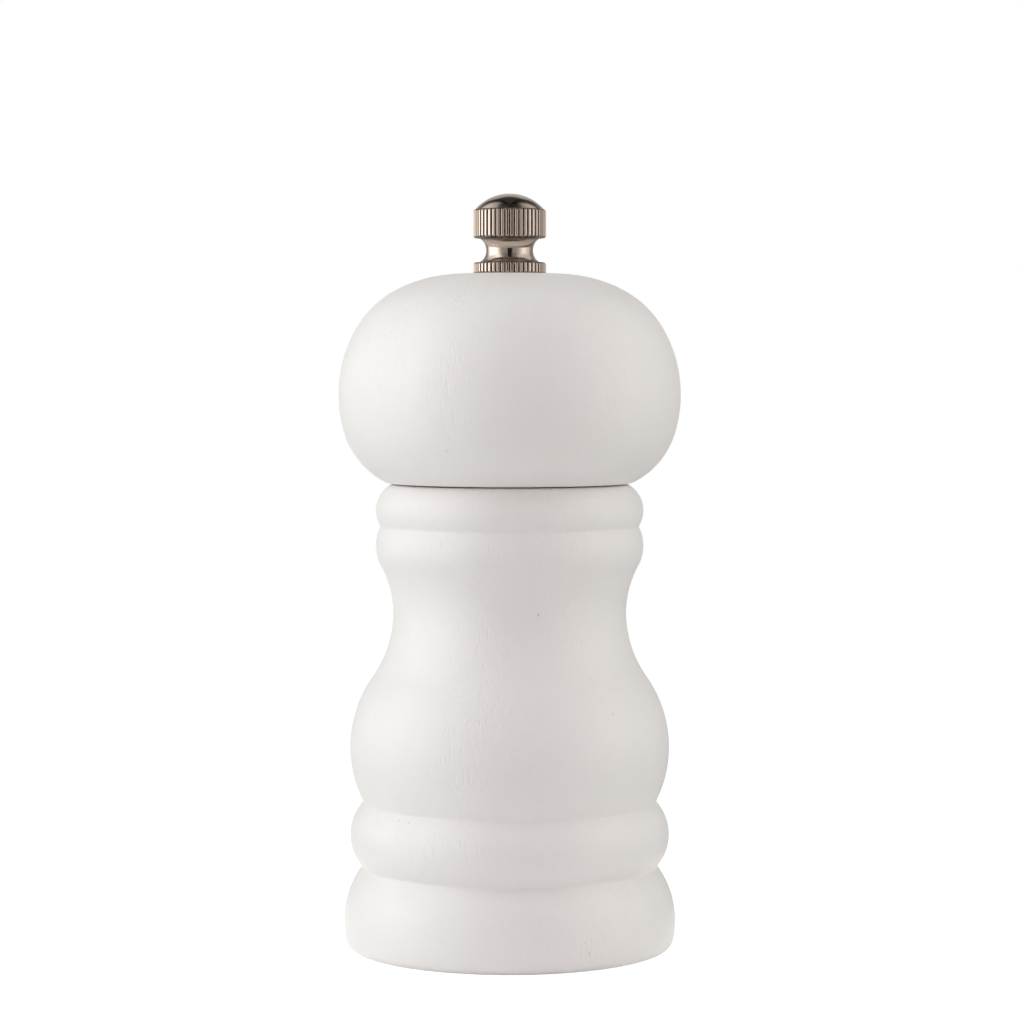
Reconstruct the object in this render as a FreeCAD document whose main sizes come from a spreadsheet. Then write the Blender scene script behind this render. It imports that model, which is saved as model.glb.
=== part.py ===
import FreeCAD, Part
import Sketcher
import math
import os

os.makedirs("parts", exist_ok=True)

# A small hand mill for salt or pepper, turned from wood, with a ceramic grinder in its base.
# All lengths are in millimetres. The origin is the middle of the foot, and +Z is up along the axis.

SIZES = {
    # Turned body, outside. Each bead and hollow has a radius from the axis,
    # and a rise from the one before it, from the foot up.
    "foot_flat_radius": 25.95,
    "foot_round_radius": 27.96,
    "foot_round_rise": 1.42,
    "foot_bead_radius": 27.85,
    "foot_bead_rise": 6.7,
    "foot_groove_radius": 25.05,
    "foot_groove_rise": 5.78,
    "low_bead_radius": 27.16,
    "low_bead_rise": 5.44,
    "low_groove_radius": 24.9,
    "low_groove_rise": 5.49,
    "belly_radius": 27.17,
    "belly_rise": 9.38,
    "belly_end_radius": 23.39,
    "belly_end_rise": 11.84,
    "low_neck_radius": 21.04,
    "low_neck_rise": 4.44,
    "waist_radius": 19.88,
    "waist_rise": 5.15,
    "high_neck_radius": 20.14,
    "high_neck_rise": 4.68,
    "neck_end_radius": 21.84,
    "neck_end_rise": 4.71,
    "high_bead_radius": 22.7,
    "high_bead_rise": 3.37,
    "high_groove_radius": 21.9,
    "high_groove_rise": 3.32,
    "top_bead_radius": 22.68,
    "top_bead_rise": 3.17,
    "body_top_radius": 19.99,
    "body_top_rise": 3.97,
    # Turned body, inside. Its bores are cut to suit the grinder, and the socket to suit the chamber.
    "recess_margin": 5.4,
    "recess_depth": 12.0,
    "socket_step": 2.0,
    "socket_depth": 10.0,
    # Head. Its rises go up from its own underside in the same way.
    "seam_gap": 0.2,
    "head_edge_radius": 20.74,
    "head_flare_radius": 25.32,
    "head_flare_rise": 3.52,
    "head_cheek_radius": 28.03,
    "head_cheek_rise": 4.98,
    "head_widest_radius": 28.98,
    "head_widest_rise": 6.41,
    "head_shoulder_radius": 26.02,
    "head_shoulder_rise": 11.17,
    "head_brow_radius": 22.43,
    "head_brow_rise": 4.37,
    "head_crown_radius": 18.5,
    "head_crown_rise": 2.57,
    "head_dome_radius": 13.1,
    "head_dome_rise": 1.82,
    "head_seat_radius": 8.5,
    "head_seat_rise": 0.51,
    "spigot_gap": 0.2,
    "spigot_clear": 0.8,
    "spigot_chamfer": 0.8,
    "head_bore_gap": 0.36,
    # Knob. Its heights are counted from the seat on the head.
    "knob_flange_radius": 6.18,
    "knob_flange_height": 1.95,
    "knob_neck_end_radius": 5.1,
    "knob_neck_radius": 3.96,
    "knob_neck_height": 4.1,
    "knob_drum_radius": 6.17,
    "knob_drum_height": 4.85,
    "knob_rim_chamfer": 0.3,
    "knob_dome_radius": 5.8,
    "knob_dome_height": 2.67,
    "knob_hole_spare": 1.6,
    "knurl_count": 48,
    "knurl_depth": 0.3,
    "knurl_mouth": 1.2,
    # Shaft.
    "shaft_side": 5.0,
    "thread_gap": 0.05,
    "thread_engaged": 7.4,
    "thread_below_seat": 12.0,
    "thread_chamfer": 0.5,
    "square_gap": 0.05,
    # Grinder housing. Its heights are counted from the ledge in the base recess.
    "housing_gap": 0.2,
    "flange_thickness": 2.5,
    "barrel_wall": 2.55,
    "barrel_lip": 0.55,
    "sleeve_wall": 1.35,
    "sleeve_gap": 0.1,
    "sleeve_height": 17.0,
    "throat_step": 0.85,
    "lip_width": 1.15,
    "lip_thickness": 0.8,
    "fit_gap": 0.05,
    # Stator.
    "stator_radius": 12.0,
    "stator_height": 7.6,
    "stator_drop": 5.0,
    "stator_throat_radius": 8.0,
    "stator_throat_rise": 4.6,
    "stator_flare": 1.6,
    "stator_mouth_edge": 0.2,
    "tooth_count": 24,
    "tooth_depth": 0.4,
    "tooth_width": 1.1,
    "flute_width": 2.2,
    "flute_depth": 0.8,
    "stator_flutes": 8,
    "rotor_flutes": 6,
    # Retaining ring under the stator.
    "ring_thickness": 0.8,
    "ring_bite": 0.55,
    "ring_mouth": 1.0,
    "ring_opening": 5.0,
    # Bridge across the top of the housing.
    "bridge_thickness": 3.0,
    "bridge_rim": 1.0,
    "bridge_arm_width": 2.0,
    "bridge_arm_count": 4,
    "bridge_hub_wall": 1.0,
    "snap_bead": 0.25,
    "snap_width": 0.6,
    # Bush in the bridge, with its thrust washer.
    "bush_wall": 0.75,
    "bush_flange_width": 0.85,
    "bush_flange_thickness": 1.2,
    "bush_proud": 0.8,
    "thrust_washer_thickness": 0.5,
    # Rotor, its core, washer and lock nut.
    "grind_gap": 0.35,
    "rotor_drop": 5.7,
    "rotor_height": 7.8,
    "rotor_taper": 0.85,
    "rotor_bevel": 0.7,
    "core_wall": 0.5,
    "core_flange_edge": 0.6,
    "core_flange_thickness": 1.2,
    "rotor_washer_width": 4.45,
    "rotor_washer_thickness": 1.0,
    "nut_wall": 1.45,
    "nut_thickness": 2.7,
    "nut_end": 0.4,
    # Spring round the shaft.
    "wire_radius": 0.45,
    "coil_gap": 0.6,
    "coil_turns": 5,
    "spring_seat_gap": 0.05,
    # Wood screws, three under the housing and two under the drive plate.
    "screw_radius": 1.2,
    "screw_hole_gap": 0.3,
    "pilot_gap": 0.05,
    "screw_head_radius": 2.2,
    "screw_head_height": 1.5,
    "screw_slot": 0.6,
    "screw_slot_edge": 0.8,
    "screw_slot_depth": 0.75,
    "housing_screw_length": 8.5,
    "housing_screw_count": 3,
    "plate_screw_edge": 3.4,
    "plate_screw_length": 8.0,
    "plate_screw_count": 2,
    "screw_point": 1.5,
    # Drive plate in the underside of the head.
    "plate_radius": 11.0,
    "plate_thickness": 1.2,
    "plate_gap": 0.1,
}

doc = FreeCAD.newDocument("hand_mill")
sheet = doc.addObject("Spreadsheet::Sheet", "Sizes")
for row, (alias, number) in enumerate(SIZES.items(), start=1):
    sheet.set(f"A{row}", alias)
    sheet.set(f"B{row}", str(number))
    sheet.setAlias(f"B{row}", alias)
doc.recompute()


# A size carries both its number and the formula that ties it to the sheet.
class Size:
    def __init__(self, number, formula):
        self.number = number
        self.formula = formula

    def __add__(self, other):
        other = as_size(other)
        return Size(self.number + other.number, f"({self.formula} + {other.formula})")

    def __sub__(self, other):
        other = as_size(other)
        return Size(self.number - other.number, f"({self.formula} - {other.formula})")

    def __mul__(self, other):
        other = as_size(other)
        return Size(self.number * other.number, f"({self.formula} * {other.formula})")

    def __truediv__(self, other):
        other = as_size(other)
        return Size(self.number / other.number, f"({self.formula} / {other.formula})")

    def __neg__(self):
        return Size(-self.number, f"(0 - {self.formula})")


def as_size(value):
    return value if isinstance(value, Size) else Size(value, str(value))


def size(alias):
    return Size(sheet.get(alias), f"Sizes.{alias}")


ZERO = as_size(0)
ROUND = "round"
# Cosine of an eighth turn, and the corner of a hexagon over half its flats.
EIGHTH = math.sqrt(0.5)
HEX_CORNER = 2 / math.sqrt(3)


# Basic moves. An outline is a list of corners, walked with the material on the left.
# A corner of four values is reached by an arc through the point in the last two,
# and a corner marked ROUND by an arc whose centre is on the axis.
def new_body(label):
    made = doc.addObject("PartDesign::Body", label)
    made.Label = label
    return made


def origin_feature(body, role):
    return next(feature for feature in body.Origin.OriginFeatures if feature.Role == role)


def new_sketch(body, name, role, height=None):
    sketch = body.newObject("Sketcher::SketchObject", name)
    sketch.AttachmentSupport = [(origin_feature(body, role), "")]
    sketch.MapMode = "FlatFace"
    if height is not None:
        sketch.setExpression(".AttachmentOffset.Base.z", as_size(height).formula)
    return sketch


def bind(sketch, kind, value, *where):
    value = as_size(value)
    number = sketch.addConstraint(Sketcher.Constraint(kind, *where, value.number))
    sketch.setExpression(f"Constraints[{number}]", value.formula)


def fix_point(sketch, geometry, end, x, y):
    bind(sketch, "DistanceX", x, -1, 1, geometry, end)
    bind(sketch, "DistanceY", y, -1, 1, geometry, end)


def point_on_ball(start, top):
    rise = top.y - start.y
    radius = (start.x ** 2 + rise ** 2) / (2 * rise)
    half_out = start.x / 2
    return FreeCAD.Vector(half_out, top.y - radius + math.sqrt(radius ** 2 - half_out ** 2), 0)


def draw_outline(sketch, steps):
    places = [FreeCAD.Vector(as_size(step[0]).number, as_size(step[1]).number, 0) for step in steps]
    ends = []
    for index, step in enumerate(steps):
        start, finish = places[index - 1], places[index]
        if len(step) == 2:
            edge = sketch.addGeometry(Part.LineSegment(start, finish), False)
            ends.append((edge, 1, 2))
            continue
        if step[2] == ROUND:
            edge = sketch.addGeometry(Part.Arc(start, point_on_ball(start, finish), finish), False)
            ends.append((edge, 1, 2))
            sketch.addConstraint(Sketcher.Constraint("PointOnObject", edge, 3, -2))
            continue
        middle = FreeCAD.Vector(step[2].number, step[3].number, 0)
        edge = sketch.addGeometry(Part.Arc(start, middle, finish), False)
        turn = (middle - start).cross(finish - middle).z
        ends.append((edge, 1, 2) if turn > 0 else (edge, 2, 1))
        mark = sketch.addGeometry(Part.Point(middle), True)
        fix_point(sketch, mark, 1, step[2], step[3])
        sketch.addConstraint(Sketcher.Constraint("PointOnObject", mark, 1, edge))
    for index, step in enumerate(steps):
        edge, first, last = ends[index]
        after, after_first, after_last = ends[(index + 1) % len(steps)]
        sketch.addConstraint(Sketcher.Constraint("Coincident", edge, last, after, after_first))
        fix_point(sketch, edge, last, step[0], step[1])


def turned(body, name, steps, kind="PartDesign::Revolution"):
    sketch = new_sketch(body, name + "_sketch", "XZ_Plane")
    draw_outline(sketch, steps)
    feature = body.newObject(kind, name)
    feature.Profile = sketch
    feature.ReferenceAxis = (sketch, ["V_Axis"])
    feature.Angle = 360
    return feature


# A turned feature beside the axis, such as a screw, goes round a line at its own distance.
def turned_at(body, name, distance, steps, kind="PartDesign::Revolution"):
    sketch = new_sketch(body, name + "_sketch", "XZ_Plane")
    draw_outline(sketch, [(distance + step[0], step[1]) for step in steps])
    start = FreeCAD.Vector(distance.number, -1, 0)
    finish = FreeCAD.Vector(distance.number, 1, 0)
    line = sketch.addGeometry(Part.LineSegment(start, finish), True)
    fix_point(sketch, line, 1, distance, -1)
    fix_point(sketch, line, 2, distance, 1)
    feature = body.newObject(kind, name)
    feature.Profile = sketch
    feature.ReferenceAxis = (sketch, ["Axis0"])
    feature.Angle = 360
    return feature


def extrude(body, name, steps, bottom, height, kind="PartDesign::Pad"):
    sketch = new_sketch(body, name + "_sketch", "XY_Plane", bottom)
    draw_outline(sketch, steps)
    feature = body.newObject(kind, name)
    feature.Profile = sketch
    feature.setExpression("Length", as_size(height).formula)
    if kind == "PartDesign::Pocket":
        feature.Reversed = True
    return feature


# A slot cut along a slanted face: its side view is drawn, and its width is across the axis.
def slot(body, name, steps, width):
    sketch = new_sketch(body, name + "_sketch", "XZ_Plane")
    draw_outline(sketch, steps)
    feature = body.newObject("PartDesign::Pocket", name)
    feature.Profile = sketch
    feature.Midplane = True
    feature.setExpression("Length", width.formula)
    return feature


def repeat_round(body, name, features, count):
    doc.recompute()
    pattern = body.newObject("PartDesign::PolarPattern", name)
    pattern.Originals = features
    pattern.Axis = (origin_feature(body, "Z_Axis"), [""])
    pattern.Angle = 360
    pattern.setExpression("Occurrences", count.formula)
    body.Tip = pattern
    return pattern


def box_steps(left, right, front, back):
    return [(left, front), (right, front), (right, back), (left, back)]


def square_steps(side):
    half = side / 2
    return box_steps(-half, half, -half, half)


def hexagon_steps(flats):
    corner = flats / 2 * HEX_CORNER
    half = flats / 2
    return [
        (corner, ZERO),
        (corner / 2, half),
        (-corner / 2, half),
        (-corner, ZERO),
        (-corner / 2, -half),
        (corner / 2, -half),
    ]


def tube_steps(inner, outer, bottom, top):
    return box_steps(inner, outer, bottom, top)


# The beads and hollows of the two turned pieces, in pairs: an arc's middle, then its end.
BODY_BEADS = [
    ("foot_bead", "foot_groove"),
    ("low_bead", "low_groove"),
    ("belly", "belly_end"),
    ("low_neck", "waist"),
    ("high_neck", "neck_end"),
    ("high_bead", "high_groove"),
    ("top_bead", "body_top"),
]
HEAD_BEADS = [
    ("head_flare", "head_cheek"),
    ("head_widest", "head_shoulder"),
    ("head_brow", "head_crown"),
    ("head_dome", "head_seat"),
]


def bead_steps(pairs, height):
    steps = []
    for middle, end in pairs:
        middle_height = height + size(middle + "_rise")
        height = middle_height + size(end + "_rise")
        steps.append((size(end + "_radius"), height, size(middle + "_radius"), middle_height))
    return steps


# Heights that several pieces share.
body_steps = bead_steps(BODY_BEADS, size("foot_round_rise"))
body_top = body_steps[-1][1]
socket_floor = body_top - size("socket_depth")
ledge = size("recess_depth")
head_bottom = body_top + size("seam_gap")
head_steps = bead_steps(HEAD_BEADS, head_bottom)
seat = head_steps[-1][1]
spigot_bottom = socket_floor + size("spigot_clear")
flange_bottom = ledge - size("flange_thickness")
sleeve_top = ledge + size("sleeve_height")
bridge_bottom = sleeve_top - size("bridge_thickness")
stator_bottom = ledge - size("stator_drop")
stator_top = stator_bottom + size("stator_height")
throat_height = stator_bottom + size("stator_throat_rise")
rotor_bottom = ledge - size("rotor_drop")
rotor_top = rotor_bottom + size("rotor_height")
core_top = rotor_top + size("core_flange_thickness")
washer_bottom = rotor_bottom - size("rotor_washer_thickness")
nut_bottom = washer_bottom - size("nut_thickness")
shaft_bottom = nut_bottom - size("nut_end")
square_top = seat - size("thread_below_seat")
shaft_top = seat + size("thread_engaged")
bush_top = bridge_bottom - size("fit_gap")
bush_flange_bottom = bush_top - size("bush_flange_thickness")
thrust_bottom = bush_flange_bottom - size("thrust_washer_thickness")

# Radii that several pieces share, from the shaft outwards and from the stator outwards.
thread_radius = size("shaft_side") / 2
thread_bore = thread_radius + size("thread_gap")
shaft_corner = size("shaft_side") * EIGHTH
square_hole = size("shaft_side") + size("square_gap") * 2
hole_corner = square_hole * EIGHTH
bush_radius = hole_corner + size("bush_wall")
bush_flange = bush_radius + size("bush_flange_width")
hub_bore = bush_radius + size("fit_gap")
hub_radius = hub_bore + size("bridge_hub_wall")
core_flats = (hole_corner + size("core_wall")) * 2
hex_hole = core_flats + size("square_gap") * 2
coil_radius = shaft_corner + size("coil_gap") + size("wire_radius")
stator_throat = size("stator_throat_radius")
stator_exit = stator_throat + size("stator_flare")
rotor_throat = stator_throat - size("grind_gap")
rotor_exit = stator_exit - size("grind_gap")
rotor_crown = rotor_throat - size("rotor_taper")
pocket_radius = size("stator_radius") + size("fit_gap")
lip_radius = pocket_radius - size("lip_width")
stator_mouth = lip_radius - size("stator_mouth_edge")
ring_radius = pocket_radius + size("ring_bite")
ring_inner = stator_exit + size("ring_mouth")
barrel_outer = pocket_radius + size("barrel_wall")
recess_radius = barrel_outer + size("recess_margin")
housing_circle = barrel_outer + size("recess_margin") / 2
sleeve_outer = pocket_radius + size("sleeve_wall")
chamber_radius = sleeve_outer + size("sleeve_gap")
socket_radius = chamber_radius + size("socket_step")
plate_circle = size("plate_radius") - size("plate_screw_edge")


def make_mill_body():
    body = new_body("mill_body")
    flat = size("foot_flat_radius")
    toe = size("foot_round_radius")
    toe_height = size("foot_round_rise")
    steps = [
        (recess_radius, ZERO),
        (flat, ZERO),
        (toe, toe_height, flat + (toe - flat) * EIGHTH, toe_height * (1 - EIGHTH)),
        *body_steps,
        (socket_radius, body_top),
        (socket_radius, socket_floor),
        (chamber_radius, socket_floor),
        (chamber_radius, ledge),
        (recess_radius, ledge),
    ]
    turned(body, "body_turning", steps)
    hole = size("screw_radius") + size("pilot_gap")
    depth = size("housing_screw_length") - size("flange_thickness") + size("fit_gap")
    pilot = turned_at(
        body,
        "body_pilot_hole",
        housing_circle,
        tube_steps(ZERO, hole, ledge, ledge + depth),
        "PartDesign::Groove",
    )
    repeat_round(body, "body_pilot_holes", [pilot], size("housing_screw_count"))
    return body


def make_mill_head():
    body = new_body("mill_head")
    spigot = socket_radius - size("spigot_gap")
    bore = shaft_corner + size("head_bore_gap")
    chamfer = size("spigot_chamfer")
    plate_pocket = size("plate_radius") + size("plate_gap")
    plate_seat = spigot_bottom + size("plate_thickness")
    steps = [
        (plate_pocket, spigot_bottom),
        (spigot - chamfer, spigot_bottom),
        (spigot, spigot_bottom + chamfer),
        (spigot, head_bottom),
        (size("head_edge_radius"), head_bottom),
        *head_steps,
        (bore, seat),
        (bore, plate_seat),
        (plate_pocket, plate_seat),
    ]
    turned(body, "head_turning", steps)
    hole = size("screw_radius") + size("pilot_gap")
    depth = size("plate_screw_length") - size("plate_thickness") + size("fit_gap")
    pilot = turned_at(
        body,
        "head_pilot_hole",
        plate_circle,
        tube_steps(ZERO, hole, plate_seat, plate_seat + depth),
        "PartDesign::Groove",
    )
    repeat_round(body, "head_pilot_holes", [pilot], size("plate_screw_count"))
    return body


def make_knob():
    body = new_body("knob")
    flange = size("knob_flange_radius")
    drum = size("knob_drum_radius")
    rim = size("knob_rim_chamfer")
    neck_end = size("knob_neck_end_radius")
    flange_top = seat + size("knob_flange_height")
    drum_bottom = flange_top + size("knob_neck_height")
    drum_top = drum_bottom + size("knob_drum_height")
    dome = size("knob_dome_radius")
    dome_top = drum_top + size("knob_dome_height")
    hole_top = shaft_top + size("knob_hole_spare")
    steps = [
        (thread_bore, seat),
        (flange - rim, seat),
        (flange, seat + rim),
        (flange, flange_top - rim),
        (flange - rim, flange_top),
        (neck_end, flange_top),
        (
            neck_end,
            drum_bottom,
            size("knob_neck_radius"),
            flange_top + size("knob_neck_height") / 2,
        ),
        (drum - rim, drum_bottom),
        (drum, drum_bottom + rim),
        (drum, drum_top - rim),
        (drum - rim, drum_top),
        (dome, drum_top),
        (ZERO, dome_top, ROUND),
        (ZERO, hole_top),
        (thread_bore, hole_top),
    ]
    turned(body, "knob_turning", steps)
    half = size("knurl_mouth") / 2
    bands = {
        "flange": (flange, seat, size("knob_flange_height")),
        "drum": (drum, drum_bottom, size("knob_drum_height")),
    }
    for name, (radius, bottom, height) in bands.items():
        root = radius - size("knurl_depth")
        outside = radius + rim
        groove = [(root, ZERO), (outside, -half), (outside, half)]
        cut = extrude(body, name + "_knurl", groove, bottom, height, "PartDesign::Pocket")
        repeat_round(body, name + "_knurls", [cut], size("knurl_count"))
    return body


def make_shaft():
    body = new_body("shaft")
    square = square_steps(size("shaft_side"))
    thread = thread_radius
    chamfer = size("thread_chamfer")
    extrude(body, "shaft_square", square, rotor_bottom, square_top - rotor_bottom)
    lower = [
        (ZERO, shaft_bottom),
        (thread - chamfer, shaft_bottom),
        (thread, shaft_bottom + chamfer),
        (thread, rotor_bottom),
        (ZERO, rotor_bottom),
    ]
    upper = [
        (ZERO, square_top),
        (thread, square_top),
        (thread, shaft_top - chamfer),
        (thread - chamfer, shaft_top),
        (ZERO, shaft_top),
    ]
    turned(body, "shaft_lower_thread", lower)
    turned(body, "shaft_upper_thread", upper)
    return body


def make_drive_plate():
    body = new_body("drive_plate")
    top = spigot_bottom + size("plate_thickness")
    turned(body, "plate_disc", tube_steps(ZERO, size("plate_radius"), spigot_bottom, top))
    square = square_steps(square_hole)
    extrude(body, "plate_square", square, spigot_bottom, size("plate_thickness"), "PartDesign::Pocket")
    hole = turned_at(
        body,
        "plate_screw_hole",
        plate_circle,
        tube_steps(ZERO, size("screw_radius") + size("screw_hole_gap"), spigot_bottom, top),
        "PartDesign::Groove",
    )
    repeat_round(body, "plate_screw_holes", [hole], size("plate_screw_count"))
    return body


# Round headed wood screws with a cross slot, all pointing up from one flat face.
def make_screws(label, face, circle, length, count):
    body = new_body(label)
    radius = size("screw_radius")
    head = size("screw_head_radius")
    crown = face - size("screw_head_height")
    tip = face + length
    steps = [
        (ZERO, crown),
        (head / 2, crown),
        (head, face, head / 2 * (1 + EIGHTH), face - size("screw_head_height") * EIGHTH),
        (radius, face),
        (radius, tip - size("screw_point")),
        (ZERO, tip),
    ]
    screw = turned_at(body, label + "_screw", circle, steps)
    half = size("screw_slot") / 2
    reach = head - size("screw_slot_edge")
    depth = size("screw_slot_depth")
    features = [screw]
    bars = {
        "_slot": box_steps(circle - reach, circle + reach, -half, half),
        "_cross_slot": box_steps(circle - half, circle + half, -reach, reach),
    }
    for name, outline in bars.items():
        cut = extrude(body, label + name, outline, crown, depth, "PartDesign::Pocket")
        features.append(cut)
    repeat_round(body, label + "_group", features, count)
    return body


def make_grinder_housing():
    body = new_body("grinder_housing")
    gap = size("fit_gap")
    groove_top = stator_bottom + gap
    groove_bottom = stator_bottom - size("ring_thickness") - gap
    barrel_bottom = groove_bottom - size("barrel_lip")
    lip_top = stator_top + size("lip_thickness")
    snap_middle = bridge_bottom + size("bridge_thickness") / 2
    snap_half = size("snap_width") / 2 + gap
    snap_radius = pocket_radius + size("snap_bead")
    throat_radius = pocket_radius - size("throat_step")
    steps = [
        (pocket_radius, barrel_bottom),
        (barrel_outer, barrel_bottom),
        (barrel_outer, flange_bottom),
        (recess_radius - size("housing_gap"), flange_bottom),
        (recess_radius - size("housing_gap"), ledge),
        (sleeve_outer, ledge),
        (sleeve_outer, sleeve_top),
        (pocket_radius, sleeve_top),
        (pocket_radius, snap_middle + snap_half),
        (snap_radius, snap_middle + snap_half),
        (snap_radius, snap_middle - snap_half),
        (pocket_radius, snap_middle - snap_half),
        (pocket_radius, bridge_bottom),
        (throat_radius, bridge_bottom),
        (throat_radius, lip_top),
        (lip_radius, lip_top),
        (lip_radius, stator_top),
        (pocket_radius, stator_top),
        (pocket_radius, groove_top),
        (ring_radius + gap, groove_top),
        (ring_radius + gap, groove_bottom),
        (pocket_radius, groove_bottom),
    ]
    turned(body, "housing_moulding", steps)
    hole = turned_at(
        body,
        "housing_screw_hole",
        housing_circle,
        tube_steps(ZERO, size("screw_radius") + size("screw_hole_gap"), flange_bottom, ledge),
        "PartDesign::Groove",
    )
    repeat_round(body, "housing_screw_holes", [hole], size("housing_screw_count"))
    return body


def make_stator_ring():
    body = new_body("stator_ring")
    depth = size("tooth_depth")
    flute = size("flute_depth")
    steps = [
        (stator_exit, stator_bottom),
        (size("stator_radius"), stator_bottom),
        (size("stator_radius"), stator_top),
        (stator_mouth, stator_top),
        (stator_throat, throat_height),
    ]
    turned(body, "stator_turning", steps)
    tooth = slot(body, "stator_tooth", [
        (stator_throat - depth, throat_height),
        (stator_exit - depth, stator_bottom),
        (stator_exit + depth, stator_bottom),
        (stator_throat + depth, throat_height),
    ], size("tooth_width"))
    repeat_round(body, "stator_teeth", [tooth], size("tooth_count"))
    cut = slot(body, "stator_flute", [
        (stator_throat - flute, throat_height),
        (stator_throat + flute, throat_height),
        (stator_mouth + flute, stator_top),
        (stator_mouth - flute, stator_top),
    ], size("flute_width"))
    repeat_round(body, "stator_flute_ring", [cut], size("stator_flutes"))
    return body


def make_stator_retainer():
    body = new_body("stator_retainer")
    bottom = stator_bottom - size("ring_thickness")
    turned(body, "retainer_ring", tube_steps(ring_inner, ring_radius, bottom, stator_bottom))
    half = size("ring_opening") / 2
    opening = box_steps(ZERO, ring_radius + size("ring_mouth"), -half, half)
    cut = extrude(
        body, "retainer_opening", opening, bottom, size("ring_thickness"), "PartDesign::Pocket"
    )
    body.Tip = cut
    return body


def make_shaft_bridge():
    body = new_body("shaft_bridge")
    gap = size("fit_gap")
    outer = pocket_radius - gap
    inner = outer - size("bridge_rim")
    snap_middle = bridge_bottom + size("bridge_thickness") / 2
    snap_half = size("snap_width") / 2
    snap_radius = outer + size("snap_bead")
    steps = [
        (inner, bridge_bottom),
        (outer, bridge_bottom),
        (outer, snap_middle - snap_half),
        (snap_radius, snap_middle - snap_half),
        (snap_radius, snap_middle + snap_half),
        (outer, snap_middle + snap_half),
        (outer, sleeve_top),
        (inner, sleeve_top),
    ]
    turned(body, "bridge_rim_ring", steps)
    side = size("bridge_arm_width") / 2 * EIGHTH
    corner = (inner + size("bridge_rim") / 2) * EIGHTH
    outline = [
        (side, -side),
        (corner + side, corner - side),
        (corner - side, corner + side),
        (-side, side),
    ]
    arm = extrude(body, "bridge_arm", outline, bridge_bottom, size("bridge_thickness"))
    repeat_round(body, "bridge_arms", [arm], size("bridge_arm_count"))
    doc.recompute()
    turned(body, "bridge_hub", tube_steps(ZERO, hub_radius, bridge_bottom, sleeve_top))
    bore_outline = tube_steps(ZERO, hub_bore, bridge_bottom, sleeve_top)
    bore = turned(body, "bridge_bore", bore_outline, "PartDesign::Groove")
    body.Tip = bore
    return body


def make_bridge_bush():
    body = new_body("bridge_bush")
    top = sleeve_top + size("bush_proud")
    turned(body, "bush_turning", [
        (ZERO, bush_flange_bottom),
        (bush_flange, bush_flange_bottom),
        (bush_flange, bush_top),
        (bush_radius, bush_top),
        (bush_radius, top),
        (ZERO, top),
    ])
    square = square_steps(square_hole)
    height = top - bush_flange_bottom
    cut = extrude(body, "bush_square", square, bush_flange_bottom, height, "PartDesign::Pocket")
    body.Tip = cut
    return body


def make_thrust_washer():
    body = new_body("thrust_washer")
    inner = hole_corner + size("fit_gap")
    turned(body, "thrust_disc", tube_steps(inner, bush_flange, thrust_bottom, bush_flange_bottom))
    return body


def make_rotor():
    body = new_body("rotor")
    depth = size("tooth_depth")
    flute = size("flute_depth")
    turned(body, "rotor_turning", [
        (ZERO, rotor_bottom),
        (rotor_exit - size("rotor_bevel"), rotor_bottom),
        (rotor_exit, stator_bottom),
        (rotor_throat, throat_height),
        (rotor_crown, rotor_top),
        (ZERO, rotor_top),
    ])
    tooth = slot(body, "rotor_tooth", [
        (rotor_throat - depth, throat_height),
        (rotor_exit - depth, stator_bottom),
        (rotor_exit + depth, stator_bottom),
        (rotor_throat + depth, throat_height),
    ], size("tooth_width"))
    repeat_round(body, "rotor_teeth", [tooth], size("tooth_count"))
    cut = slot(body, "rotor_flute", [
        (rotor_throat - flute, throat_height),
        (rotor_throat + flute, throat_height),
        (rotor_crown + flute, rotor_top),
        (rotor_crown - flute, rotor_top),
    ], size("flute_width"))
    repeat_round(body, "rotor_flute_ring", [cut], size("rotor_flutes"))
    doc.recompute()
    key = extrude(
        body,
        "rotor_key_hole",
        hexagon_steps(hex_hole),
        rotor_bottom,
        size("rotor_height"),
        "PartDesign::Pocket",
    )
    body.Tip = key
    return body


def make_rotor_core():
    body = new_body("rotor_core")
    stem = hexagon_steps(core_flats)
    edge = rotor_crown - size("core_flange_edge")
    extrude(body, "core_stem", stem, rotor_bottom, size("rotor_height"))
    turned(body, "core_flange", tube_steps(ZERO, edge, rotor_top, core_top))
    square = square_steps(square_hole)
    height = core_top - rotor_bottom
    cut = extrude(body, "core_square", square, rotor_bottom, height, "PartDesign::Pocket")
    body.Tip = cut
    return body


def make_rotor_washer():
    body = new_body("rotor_washer")
    outer = thread_bore + size("rotor_washer_width")
    turned(body, "washer_disc", tube_steps(thread_bore, outer, washer_bottom, rotor_bottom))
    return body


def make_shaft_nut():
    body = new_body("shaft_nut")
    hexagon = hexagon_steps((thread_bore + size("nut_wall")) * 2)
    extrude(body, "nut_hexagon", hexagon, nut_bottom, size("nut_thickness"))
    outline = tube_steps(ZERO, thread_bore, nut_bottom, washer_bottom)
    hole = turned(body, "nut_bore", outline, "PartDesign::Groove")
    body.Tip = hole
    return body


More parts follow.
